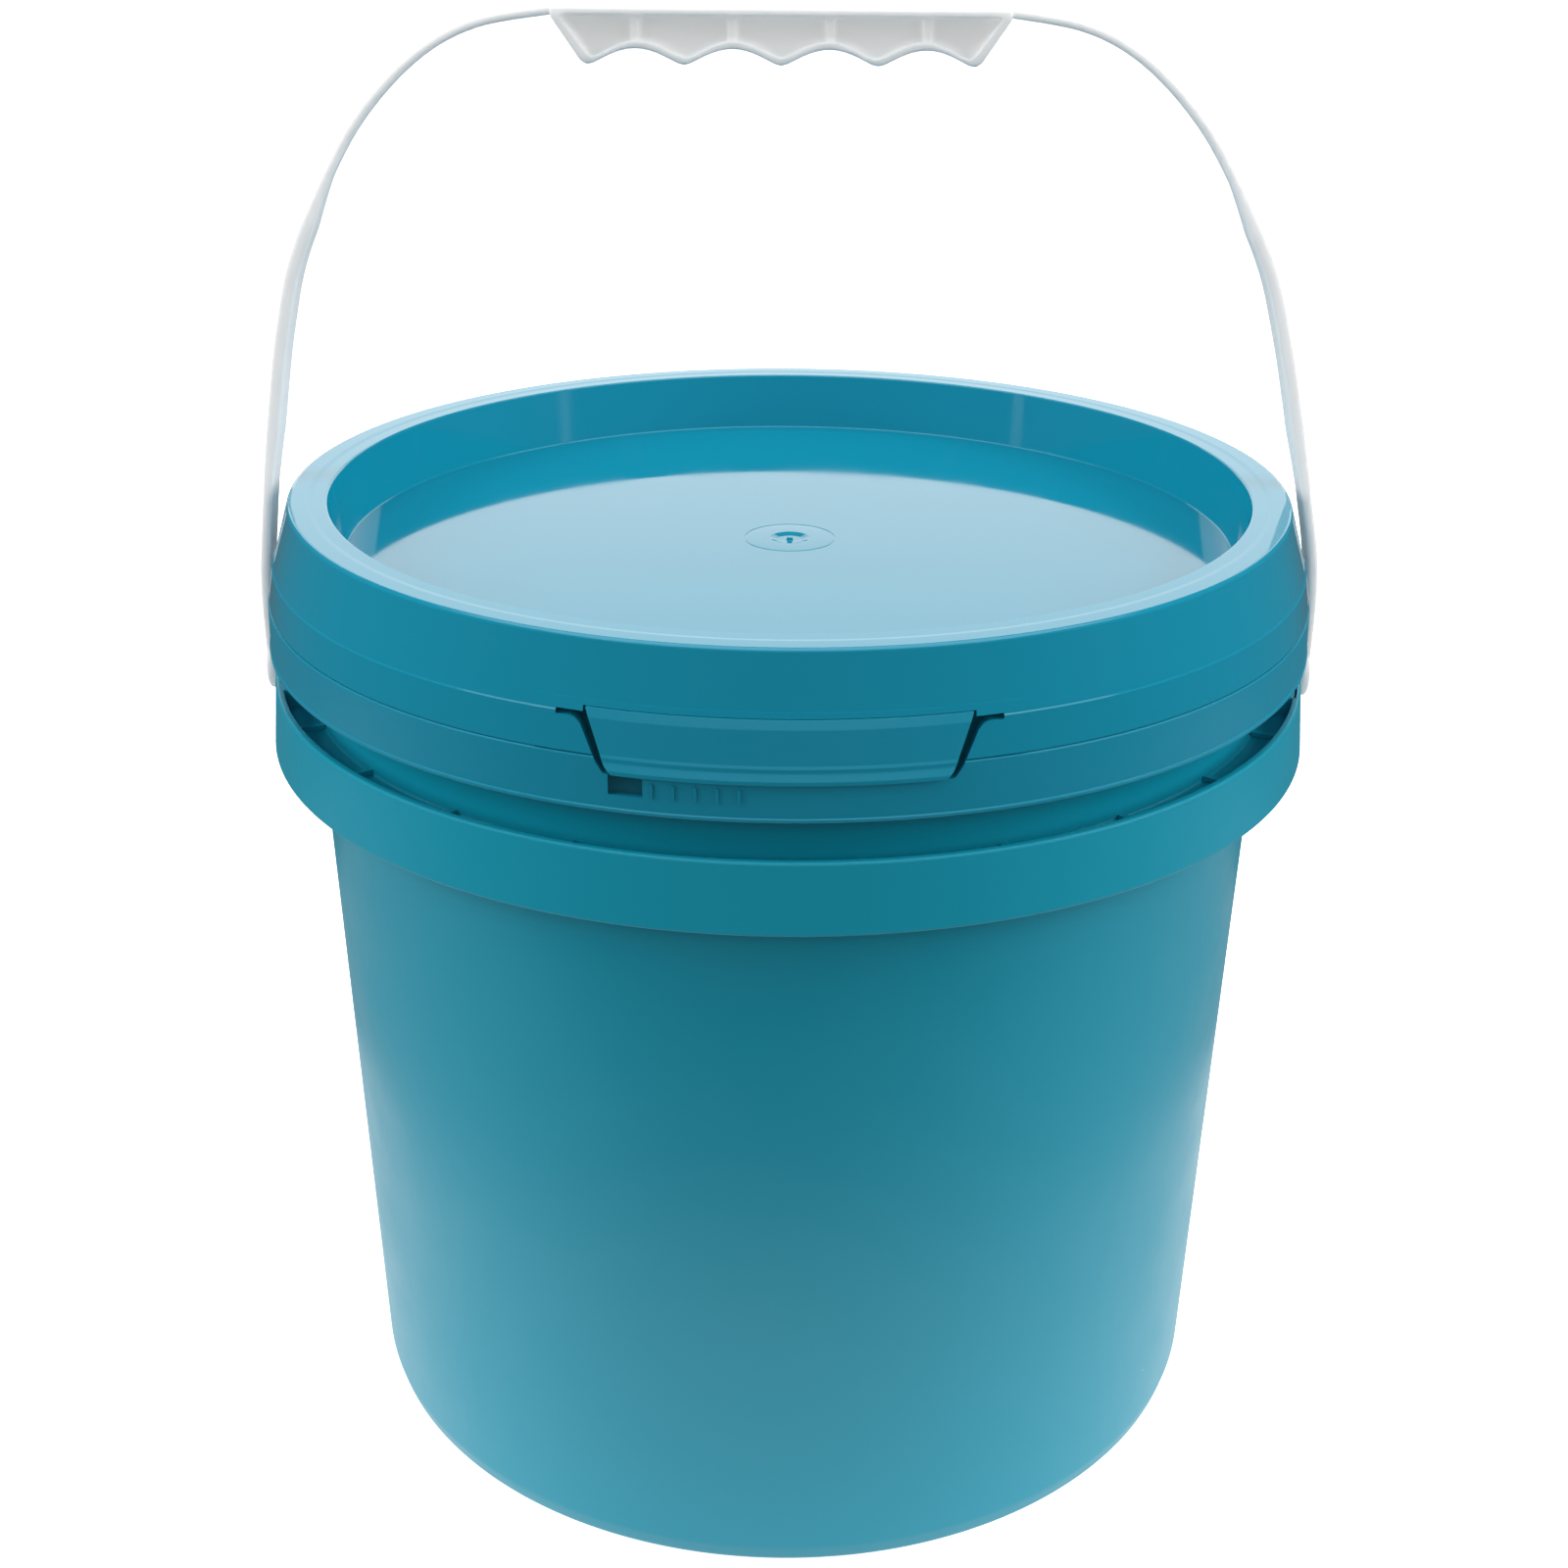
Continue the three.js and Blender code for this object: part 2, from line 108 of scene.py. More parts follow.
def rounded(corners, closed=True, step=math.radians(12)):
    """Outline of [a, b, radius] corners with each corner turned into an arc."""
    points = []
    count = len(corners)
    for i, (a, b, radius) in enumerate(corners):
        corner = Vector((a, b))
        if radius <= 0 or (not closed and i in (0, count - 1)):
            points.append(corner)
            continue
        before = Vector(corners[i - 1][:2]) - corner
        after = Vector(corners[(i + 1) % count][:2]) - corner
        half = before.angle(after) / 2
        reach = min(radius / math.tan(half), ARC_SHARE * before.length, ARC_SHARE * after.length)
        size = reach * math.tan(half)
        before.normalize()
        after.normalize()
        centre = corner + (before + after).normalized() * (size / math.sin(half))
        start = corner + before * reach - centre
        end = corner + after * reach - centre
        sweep = math.pi - 2 * half
        if start.x * end.y - start.y * end.x < 0:
            sweep = -sweep
        steps = max(2, math.ceil(abs(sweep) / step))
        for k in range(steps + 1):
            turn = Matrix.Rotation(sweep * k / steps, 2)
            points.append(centre + turn @ start)
    return points


def mesh_object(name, verts, faces):
    mesh = bpy.data.meshes.new(name)
    mesh.from_pydata([tuple(v) for v in verts], [], faces)
    mesh.validate()
    work = bmesh.new()
    work.from_mesh(mesh)
    bmesh.ops.remove_doubles(work, verts=work.verts, dist=SAME_POINT)
    bmesh.ops.recalc_face_normals(work, faces=work.faces)
    work.to_mesh(mesh)
    work.free()
    obj = bpy.data.objects.new(name, mesh)
    bpy.context.scene.collection.objects.link(obj)
    return obj


def turned(name, outline, closed=False, segments=SEGMENTS):
    """Turns an outline of (radius, height) points about Z."""
    verts = []
    for s in range(segments):
        c, d = math.cos(TURN * s / segments), math.sin(TURN * s / segments)
        verts += [(r * c, r * d, z) for r, z in outline]
    n = len(outline)
    faces = []
    for s in range(segments):
        here, there = s * n, ((s + 1) % segments) * n
        for i in range(n if closed else n - 1):
            j = (i + 1) % n
            ring = [here + i, there + i, there + j, here + j]
            if outline[i][0] < ON_AXIS:
                ring.pop(1)
            elif outline[j][0] < ON_AXIS:
                ring.pop(2)
            faces.append(ring)
    return mesh_object(name, verts, faces)


def prism(name, outline, low, high, place=Matrix.Identity(4)):
    """Extrudes a flat outline from low to high along its own Z, then places it."""
    n = len(outline)
    verts = [place @ Vector((a, b, low)) for a, b in outline]
    verts += [place @ Vector((a, b, high)) for a, b in outline]
    faces = [list(range(n)), list(range(2 * n - 1, n - 1, -1))]
    faces += [[i, (i + 1) % n, n + (i + 1) % n, n + i] for i in range(n)]
    return mesh_object(name, verts, faces)


def applied(obj):
    """Applies the modifiers of an object to its mesh."""
    bpy.context.view_layer.update()
    shaped = obj.evaluated_get(bpy.context.evaluated_depsgraph_get())
    mesh = bpy.data.meshes.new_from_object(shaped)
    obj.modifiers.clear()
    obj.data = mesh
    return obj


def combined(target, others, operation):
    """Joins or cuts target with each other object, which is then gone."""
    for other in others:
        boolean = target.modifiers.new("shape", "BOOLEAN")
        boolean.operation = operation
        boolean.solver = "EXACT"
        boolean.object = other
        applied(target)
        bpy.data.objects.remove(other)
    return target


def softened(obj, width, limit=math.radians(35), segments=2):
    """Rounds the edges that are sharper than the limit."""
    bevel = obj.modifiers.new("edges", "BEVEL")
    bevel.width = width
    bevel.segments = segments
    bevel.limit_method = "ANGLE"
    bevel.angle_limit = limit
    bevel.use_clamp_overlap = True
    return applied(obj)


def smooth(obj, sharp=math.radians(42)):
    """Smooth shading that keeps broad faces true beside their rounded edges."""
    for face in obj.data.polygons:
        face.use_smooth = True
    obj.data.set_sharp_from_angle(angle=sharp)
    weighted = obj.modifiers.new("normals", "WEIGHTED_NORMAL")
    weighted.keep_sharp = True
    weighted.weight = 90
    return applied(obj)


def piece(obj, body, node, material):
    obj.data.materials.clear()
    obj.data.materials.append(material)
    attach(obj, body)
    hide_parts(node)
    return obj


# ---- materials ------------------------------------------------------------------------------------
COLOUR_A = 6                        # colour sockets of a mix node
COLOUR_B = 7
MIXED_COLOUR = 2
SPECK_CELLS = 50.0                  # cells in a metre; a speck shows where a cell's point meets the skin
SPECK_TINT = "#A9DDE8"


def linear(colour):
    """sRGB hex to linear RGBA."""
    parts = [int(colour[i:i + 2], 16) / 255 for i in (1, 3, 5)]
    return [c / 12.92 if c <= 0.04045 else ((c + 0.055) / 1.055) ** 2.4 for c in parts] + [1]


def add(tree, kind, settings=None, links=None, **values):
    """Adds a node, sets its own settings, its socket values and its incoming links."""
    made = tree.nodes.new(kind)
    for key, value in (settings or {}).items():
        setattr(made, key, value)
    for key, value in values.items():
        made.inputs[key.replace("_", " ")].default_value = value
    for key, source in (links or {}).items():
        tree.links.new(source, made.inputs[key])
    return made


def plastic(name, pale, deep, roughness, grain, grain_depth, haze, specks=0.0, **shader):
    """Moulded plastic: slow drift of colour, a moulded grain, faint haze in the gloss, dust specks.

    The real grain is too fine to show, so each grain is drawn coarser than it is.
    """
    material = bpy.data.materials.new(name)
    material.use_nodes = True
    tree = material.node_tree
    tree.nodes.clear()
    at = add(tree, "ShaderNodeTexCoord").outputs["Object"]
    drift = add(tree, "ShaderNodeTexNoise", links={"Vector": at}, Scale=9.0, Detail=3.0)
    tint = add(tree, "ShaderNodeMix", {"data_type": "RGBA"}, {"Factor": drift.outputs["Fac"]})
    tint.inputs[COLOUR_A].default_value = linear(deep)
    tint.inputs[COLOUR_B].default_value = linear(pale)
    colour = tint.outputs[MIXED_COLOUR]
    if specks:
        dots = add(tree, "ShaderNodeTexVoronoi", links={"Vector": at}, Scale=SPECK_CELLS, Randomness=1.0)
        small = add(tree, "ShaderNodeMath", {"operation": "LESS_THAN"}, {0: dots.outputs["Distance"]})
        small.inputs[1].default_value = specks
        dotted = add(tree, "ShaderNodeMix", {"data_type": "RGBA"},
                     {"Factor": small.outputs[0], COLOUR_A: colour})
        dotted.inputs[COLOUR_B].default_value = linear(SPECK_TINT)
        colour = dotted.outputs[MIXED_COLOUR]
    cloud = add(tree, "ShaderNodeTexNoise", links={"Vector": at}, Scale=38.0, Detail=5.0, Roughness=0.6)
    gloss = add(tree, "ShaderNodeMapRange", links={"Value": cloud.outputs["Fac"]})
    gloss.inputs["From Min"].default_value = 0.3
    gloss.inputs["From Max"].default_value = 0.7
    gloss.inputs["To Min"].default_value = roughness - haze
    gloss.inputs["To Max"].default_value = roughness + haze
    skin = add(tree, "ShaderNodeTexNoise", links={"Vector": at}, Scale=1 / grain, Detail=1.0)
    bump = add(tree, "ShaderNodeBump", links={"Height": skin.outputs["Fac"]}, Strength=0.35)
    bump.inputs["Distance"].default_value = grain_depth
    links = {"Base Color": colour, "Roughness": gloss.outputs[0], "Normal": bump.outputs[0]}
    body = add(tree, "ShaderNodeBsdfPrincipled", links=links, IOR=1.49)
    for key, value in shader.items():
        body.inputs[key.replace("_", " ")].default_value = value
    add(tree, "ShaderNodeOutputMaterial", links={"Surface": body.outputs[0]})
    return material


# Injection-moulded polypropylene, satin: the wall takes broad soft highlights
satin_teal = plastic("satin_teal_polypropylene", "#1191A9", "#0F8CA5", roughness=0.33,
                     grain=1.6 * MM, grain_depth=0.015 * MM, haze=0.045, specks=0.011)
# The same plastic from a polished mould: the lid mirrors its own rim and the backdrop
polished_teal = plastic("polished_teal_polypropylene", "#1185A0", "#0F819C", roughness=0.06,
                        grain=4.0 * MM, grain_depth=0.004 * MM, haze=0.03, specks=0.008)
# The same colour drawn duller for the skirt strip and tab, so that they mirror no light's edge
dull_teal = plastic("dull_teal_polypropylene", "#1185A0", "#0F819C", roughness=0.32,
                    grain=1.6 * MM, grain_depth=0.012 * MM, haze=0.04)
# Natural white polypropylene, slightly waxy, with light passing into thin edges
waxy_white = plastic("waxy_white_polypropylene", "#F6F5F4", "#F0EFEE", roughness=0.42,
                     grain=0.8 * MM, grain_depth=0.02 * MM, haze=0.05,
                     Subsurface_Weight=0.7, Subsurface_Scale=0.006, Subsurface_Radius=(1.0, 1.0, 1.0))
# Dark foamed elastomer, dull all over
foam_grey = plastic("foamed_grey_elastomer", "#3C4043", "#2E3235", roughness=0.85,
                    grain=0.5 * MM, grain_depth=0.08 * MM, haze=0.05)

# ---- tub ------------------------------------------------------------------------------------------


def wall_r(z):
    return BASE_R + (NECK_R - BASE_R) * z / COLLAR_TOP


def tub_outline():
    foot = BASE_R - 4.5 * MM
    floor_top = 4.7 * MM
    floor_under = 2.5 * MM
    ledge = COLLAR_TOP - TROUGH
    ledge_under = ledge - 1.8 * MM
    collar_in = COLLAR_R - COLLAR_T
    return rounded([
        (0, floor_under, 0),
        (foot - 3.5 * MM, floor_under, 1 * MM),
        (foot - 2.7 * MM, 0, 0.6 * MM),
        (foot + 0.8 * MM, 0, 1.5 * MM),
        (BASE_R - 1.0 * MM, 1.6 * MM, 2.5 * MM),
        (wall_r(6 * MM), 6 * MM, 6 * MM),
        (wall_r(COLLAR_LOW), COLLAR_LOW, 30 * MM),
        (NECK_R, ledge_under, 0.8 * MM),
        (collar_in, ledge_under, 0.8 * MM),
        (COLLAR_LOW_R - COLLAR_T, COLLAR_LOW, 0.5 * MM),
        (COLLAR_LOW_R, COLLAR_LOW, 0.5 * MM),
        (COLLAR_R, COLLAR_TOP, 0.8 * MM),
        (collar_in, COLLAR_TOP, 0.4 * MM),
        (collar_in, ledge, 0.8 * MM),
        (NECK_R, ledge, 0.8 * MM),
        (NECK_R, RIM_TOP - 11 * MM, 0.6 * MM),
        (BEAD_R, RIM_TOP - 9 * MM, 0.8 * MM),
        (BEAD_R, RIM_TOP - 6.6 * MM, 1.5 * MM),
        (BEAD_R - 2.4 * MM, RIM_TOP, 1.2 * MM),
        (NECK_R - WALL, RIM_TOP, 1.2 * MM),
        (NECK_R - WALL, COLLAR_TOP, 20 * MM),
        (wall_r(floor_top) - WALL, floor_top, 5 * MM),
        (0, floor_top, 0),
    ], closed=False)


def ring_block(name, inner, outer, middle, half, low, high, edge):
    """Wedge of a ring with softened edges, half an angle either side of the middle."""
    steps = 12
    arc = [middle - half + 2 * half * k / steps for k in range(steps + 1)]
    outline = [(outer * math.cos(a), outer * math.sin(a)) for a in arc]
    outline += [(inner * math.cos(a), inner * math.sin(a)) for a in reversed(arc)]
    return softened(prism(name, outline, low, high), edge)


def collar_ribs():
    """Thin radial ribs in the trough and under its ledge, except inside the ear blocks."""
    ribs = []
    half = 0.8 * MM
    root = NECK_R - 1 * MM
    tip = COLLAR_R - 1.2 * MM
    low = COLLAR_LOW + 2.5 * MM
    high = COLLAR_TOP - TROUGH + 1.3 * MM
    stand = Matrix.Rotation(math.pi / 2, 4, "X")
    outline = rounded([(root, low, 0), (tip, low, 0), (tip, high, 0), (root, high, 0)])
    angle = RIB_PITCH / 2
    while angle < TURN:
        from_ear = min(angle % math.pi, math.pi - angle % math.pi)
        if from_ear > EAR_HALF:
            ribs.append(prism("rib", outline, -half, half, Matrix.Rotation(angle, 4, "Z") @ stand))
        angle += RIB_PITCH
    return ribs


def joined(name, objects):
    """One mesh object out of several."""
    work = bmesh.new()
    for obj in objects:
        work.from_mesh(obj.data)
        bpy.data.objects.remove(obj)
    mesh = bpy.data.meshes.new(name)
    work.to_mesh(mesh)
    work.free()
    whole = bpy.data.objects.new(name, mesh)
    bpy.context.scene.collection.objects.link(whole)
    return whole


def rod(name, radius, x0, x1, edge=0.0):
    """A round bar along the pivot axis."""
    outline = rounded([(0, x0, 0), (radius, x0, edge), (radius, x1, edge), (0, x1, 0)], closed=False)
    bar = turned(name, outline, segments=64)
    bar.data.transform(Matrix.Translation((0, 0, PIVOT.z)) @ Matrix.Rotation(math.pi / 2, 4, "Y"))
    return bar


POCKET_IN = NECK_R + 1.8 * MM
POCKET_OUT = POCKET_IN + 3.0 * MM
POCKET_R = 5.0 * MM
BORE_R = 3.9 * MM
EAR_IN = NECK_R - 1 * MM
EAR_OUT = COLLAR_R - 0.7 * MM
EAR_LOW = COLLAR_TOP - 15.5 * MM


def make_tub():
    tub = turned("tub_moulding", tub_outline())
    combined(tub, [joined("ribs", collar_ribs())], "UNION")
    for side in (-1, 1):
        middle = 0 if side > 0 else math.pi
        ear = ring_block("ear", EAR_IN, EAR_OUT, middle, EAR_HALF, EAR_LOW, COLLAR_TOP, edge=0.3 * MM)
        combined(tub, [ear], "UNION")
        bores = [(BORE_R, POCKET_IN, ARM_OUT), (POCKET_R, POCKET_IN, POCKET_OUT)]
        for radius, start, end in bores:
            low, high = sorted((side * start, side * end))
            combined(tub, [rod("bore", radius, low, high)], "DIFFERENCE")
    return piece(smooth(tub), "pail", "tub", satin_teal)


# ---- lid ------------------------------------------------------------------------------------------


def lid_outline():
    under = LID_FLOOR - LID_WALL
    channel = LID_TOP - LID_WALL
    plug_in = PLUG_R - LID_WALL
    floor_r = plug_in - 3.2 * MM
    gate = 12 * MM
    groove = 0.35 * MM
    ring_top = LID_TOP - 0.1 * MM
    return rounded([
        (0, under, 0),
        (PLUG_R - 3.2 * MM, under, 1 * MM),
        (PLUG_R, channel, 0.8 * MM),
        (TOP_R - LID_WALL, channel, 1 * MM),
        (TIER1_R - LID_WALL, TIER1_LOW + 2 * MM, 0.6 * MM),
        (SNAP_R, TIER1_LOW - 1.5 * MM, 0.6 * MM),
        (TIER2_LOW_R - LID_WALL, TIER2_LOW, 0.3 * MM),
        (TIER2_LOW_R, TIER2_LOW, 0.25 * MM),
        (TIER2_R, TIER1_LOW, 0.15 * MM),
        (TIER1_R, TIER1_LOW + 0.25 * MM, 0.2 * MM),
        (TOP_R, LID_TOP - 0.4 * MM, 1.6 * MM),
        (TOP_R - 0.9 * MM, LID_TOP, 1.0 * MM),
        (TOP_R - 5.0 * MM, LID_TOP, 1.5 * MM),
        (TOP_R - 6.3 * MM, ring_top, 1.5 * MM),
        (plug_in, ring_top, 0.7 * MM),
        (floor_r, LID_FLOOR, 0.5 * MM),
        (gate + groove, LID_FLOOR, 0),
        (gate, LID_FLOOR - 0.18 * MM, 0),
        (gate - groove, LID_FLOOR, 0),
        (5.2 * MM, LID_FLOOR, 0.8 * MM),
        (3.4 * MM, LID_FLOOR - 0.55 * MM, 1.5 * MM),
        (0.9 * MM, LID_FLOOR - 0.6 * MM, 0.2 * MM),
        (0.7 * MM, LID_FLOOR + 0.1 * MM, 0.3 * MM),
        (0, LID_FLOOR + 0.15 * MM, 0),
    ], closed=False)


FRONT = Matrix.Rotation(LID_TURN, 4, "Z") @ Matrix.Rotation(math.pi / 2, 4, "X")
TAB_LOW = tab_low.z
TAB_TOP = tab_high.z
SLOT_TOP = TIER1_LOW + 0.5 * MM
TAB_TOP_HALF = 42.1 * MM
TAB_LOW_HALF = 36.9 * MM
CUT_IN = NECK_R - 4 * MM
CUT_OUT = ARM_OUT + 6 * MM


def mirrored(half):
    return half + [(-a, b, c) for a, b, c in reversed(half)]


def through_front(name, corners):
    """A cutter through the front of the skirt, from an outline of (x, z) corners."""
    return prism(name, rounded(corners, step=math.radians(9)), CUT_IN, CUT_OUT, FRONT)


def tab_opening():
    """The tab's opening with its S-shaped side slots."""
    top_half = TAB_TOP_HALF + 0.1 * MM
    slot_end = TAB_TOP_HALF + 6.2 * MM
    slot_low = SLOT_TOP - 1.3 * MM
    return through_front("opening", mirrored([
        (top_half, TAB_TOP + 0.15 * MM, 0),
        (top_half, SLOT_TOP, 0),
        (slot_end, SLOT_TOP, 0.3 * MM),
        (slot_end, slot_low, 0.3 * MM),
        (TAB_TOP_HALF + 1.3 * MM, slot_low, 3.0 * MM),
        (TAB_LOW_HALF + 2.7 * MM, TAB_LOW + 2.2 * MM, 2.5 * MM),
        (TAB_LOW_HALF + 1.0 * MM, TAB_LOW - 0.35 * MM, 1.2 * MM),
    ]))


def insert_mark():
    """The faint step that the tab's mould insert leaves on the skirt."""
    stand = 0.2 * MM
    slope = (TIER1_R - TOP_R) / (LID_TOP - TIER1_LOW)
    low = TIER2_LOW + 0.3 * MM
    top = TIER1_LOW + 4 * MM
    ring = turned("insert_mark", [
        (TIER2_R - 1 * MM, low),
        (TIER2_LOW_R + stand, low),
        (TIER2_R + stand, TIER1_LOW + 0.1 * MM),
        (TIER1_R + stand, TIER1_LOW + 0.3 * MM),
        (TIER1_R + stand - slope * 4 * MM, top),
        (TIER1_R - 1.5 * MM, top),
    ], closed=True)
    half = 53.5 * MM
    rise = TIER1_LOW + 3 * MM
    corners = [(-half, TIER2_LOW, 0), (half, TIER2_LOW, 0), (half, rise, 0), (-half, rise, 0)]
    plate = through_front("plate", corners)
    return combined(ring, [plate], "INTERSECT")


def make_lid():
    lid = turned("lid_moulding", lid_outline())
    combined(lid, [insert_mark()], "UNION")
    combined(lid, [tab_opening()], "DIFFERENCE")
    return piece(smooth(lid), "cover", "lid", polished_teal)


TICKS = 5
TICK_FIRST = 1.9                    # millimetres from the window to the first tick
TICK_PITCH = 4.75                   # millimetres
TICK_HALF = 0.35 * MM
TICK_STAND = 0.08 * MM
WINDOW_W = 7.6 * MM
WINDOW_H = 5.0 * MM


def make_tear_band():
    top = TIER2_LOW - 0.08 * MM
    ring = turned("tear_band_moulding", rounded([
        (BAND_LOW_R - LID_WALL, SKIRT_LOW, 0.3 * MM),
        (BAND_LOW_R, SKIRT_LOW, 0.3 * MM),
        (BAND_LOW_R, SKIRT_LOW + 0.75 * MM, 0.15 * MM),
        (BAND_LOW_R - 0.3 * MM, SKIRT_LOW + 1.05 * MM, 0.2 * MM),
        (BAND_R, top, 0.45 * MM),
        (BAND_R - LID_WALL, top, 0.3 * MM),
    ]), closed=True)
    corner = 0.2 * MM
    left = -TAB_LOW_HALF
    low = TAB_LOW - WINDOW_H
    right = left + WINDOW_W
    window = through_front("window", [
        (left, low, corner), (right, low, corner), (right, TAB_LOW, 0), (left, TAB_LOW, 0),
    ])
    combined(ring, [tab_opening(), window], "DIFFERENCE")
    foot = low + 0.2 * MM
    head = low + 3.6 * MM
    ticks = []
    for k in range(TICKS):
        middle = right + (TICK_FIRST + TICK_PITCH * k) * MM
        outline = rounded([
            (middle - TICK_HALF, foot, corner), (middle + TICK_HALF, foot, corner),
            (middle + TICK_HALF, head, corner), (middle - TICK_HALF, head, corner),
        ])
        face = math.sqrt(BAND_LOW_R ** 2 - middle ** 2)
        ticks.append(prism("tick", outline, face - 1 * MM, face + TICK_STAND, FRONT))
    combined(ring, [joined("ticks", ticks)], "UNION")
    return piece(smooth(ring), "cover", "tear_band", dull_teal)


def make_gasket():
    inward = 3.1 * MM
    middle = (gasket_high.x + NECK_R - WALL - inward) / 2
    half = (gasket_high.z - gasket_low.z) / 2
    centre = (gasket_high.z + gasket_low.z) / 2
    wide = gasket_high.x - middle
    ring = turned("gasket_ring", rounded([
        (middle - wide, centre - half, half), (middle + wide, centre - half, half),
        (middle + wide, centre + half, half), (middle - wide, centre + half, half),
    ]), closed=True)
    return piece(smooth(ring), "cover", "lid_gasket", foam_grey)


def make_pull_tab():
    face = 0.5 * MM
    thick = 1.6 * MM
    lip = COLLAR_LOW_R
    under = TAB_LOW - 2 * MM
    over = TAB_TOP + 1 * MM
    ring = turned("pull_tab_moulding", rounded([
        (lip - thick, under, 0),
        (lip, under, 0),
        (lip, TAB_LOW + 0.9 * MM, 0.8 * MM),
        (BAND_R + face, TAB_LOW + 2.6 * MM, 1.5 * MM),
        (BAND_R + face, TIER2_LOW, 0.8 * MM),
        (TIER2_LOW_R + face, TIER2_LOW + 0.7 * MM, 0.8 * MM),
        (TIER2_R + face, TIER1_LOW - 0.4 * MM, 1.5 * MM),
        (TIER1_R + 0.1 * MM, TAB_TOP, 1.0 * MM),
        (TIER1_R, over, 0),
        (TIER1_R - thick, over, 0),
    ]), closed=True)
    blank = through_front("blank", mirrored([
        (TAB_TOP_HALF - 0.4 * MM, TAB_TOP, 0.2 * MM),
        (TAB_LOW_HALF + 0.9 * MM, TAB_LOW + 2.0 * MM, 2.5 * MM),
        (TAB_LOW_HALF - 0.6 * MM, TAB_LOW, 1.2 * MM),
    ]))
    combined(ring, [blank], "INTERSECT")
    softened(ring, 0.32 * MM)
    return piece(smooth(ring), "tab", "pull_tab", dull_teal)


# ---- bail handle ----------------------------------------------------------------------------------
GRIP_HALF = 58.6 * MM
FINGERS = 4
FINGER_PITCH = 23.5 * MM
CUSP_DROP = 13.3 * MM
CROWN_DROP = 9.5 * MM
ARM_W = 9.5 * MM
ARM_T_MID = 3.6 * MM
STRAP_T = 2.2 * MM
STRAP_W = 6.0 * MM
STRAP_CORNER = 0.6 * MM
DISC_R = 7.0 * MM
PIN_R = 3.5 * MM
HEAD_R = 4.6 * MM
CUSP_BLUNT = 0.2                    # share by which the cusps between the scallops are blunted
END_SLANT = 1.6 * MM
VOXEL = 0.45 * MM
LEAN = -3.0 * MM
# Outer line above the lid: share of the arms' half spread, share of the rise from lid to grip top
ARM_SHARES = [(0.977, -0.02), (0.952, 0.152), (0.921, 0.33), (0.879, 0.498), (0.791, 0.7),
              (0.716, 0.82), (0.626, 0.915), (0.527, 0.972)]


def catmull(points, per_span=14):
    """Smooth line through points, with the end points doubled."""
    line = []
    knots = [points[0], *points, points[-1]]
    for i in range(1, len(knots) - 2):
        p0, p1, p2, p3 = knots[i - 1:i + 3]
        for k in range(per_span):
            t = k / per_span
            line.append(0.5 * ((2 * p1) + (p2 - p0) * t + (2 * p0 - 5 * p1 + 4 * p2 - p3) * t * t
                               + (3 * p1 - p0 - 3 * p2 + p3) * t ** 3))
    return line + [points[-1]]


def bail_line():
    """Outer line of one side of the bail, from pivot to grip."""
    rise = BAIL_TOP - LID_TOP
    line = [Vector((ARM_OUT, PIVOT.z)), Vector((ARM_OUT, TIER2_LOW - 1 * MM))]
    line += [Vector((ARM_OUT * a, LID_TOP + rise * b)) for a, b in ARM_SHARES]
    line.append(Vector((GRIP_HALF - 3 * MM, BAIL_TOP - 0.1 * MM)))
    return catmull(line)


def section(width, thick, corner):
    """Rounded rectangle of a strap: across Y, and inwards from its outer face."""
    return rounded([(-width / 2, 0, corner), (width / 2, 0, corner),
                    (width / 2, -thick, corner), (-width / 2, -thick, corner)], step=math.radians(30))


def ramp(value, start, end):
    return min(1, max(0, (value - start) / (end - start)))


def make_arm(side):
    line = bail_line()
    lengths = [0.0]
    for a, b in zip(line, line[1:]):
        lengths.append(lengths[-1] + (b - a).length)
    verts = []
    rings = []
    for i, p in enumerate(line):
        t = (line[min(i + 1, len(line) - 1)] - line[max(i - 1, 0)]).normalized()
        outward = Vector((t.y, -t.x))
        rise = p.y - LID_TOP
        width = ARM_W + (STRAP_W - ARM_W) * ramp(rise, 66 * MM, 84 * MM)
        thick = ARM_T + (ARM_T_MID - ARM_T) * ramp(rise, -2 * MM, 14 * MM)
        thick += (STRAP_T - ARM_T_MID) * ramp(rise, 66 * MM, 78 * MM)
        ring = section(width, thick, STRAP_CORNER)
        rings.append(range(len(verts), len(verts) + len(ring)))
        for y, depth in ring:
            q = p + outward * depth
            verts.append((side * q.x, y, q.y))
    faces = [list(rings[0]), list(rings[-1])]
    n = len(rings[0])
    for here, there in zip(rings, rings[1:]):
        faces += [[here[k], here[(k + 1) % n], there[(k + 1) % n], there[k]] for k in range(n)]
    return mesh_object("arm", verts, faces)


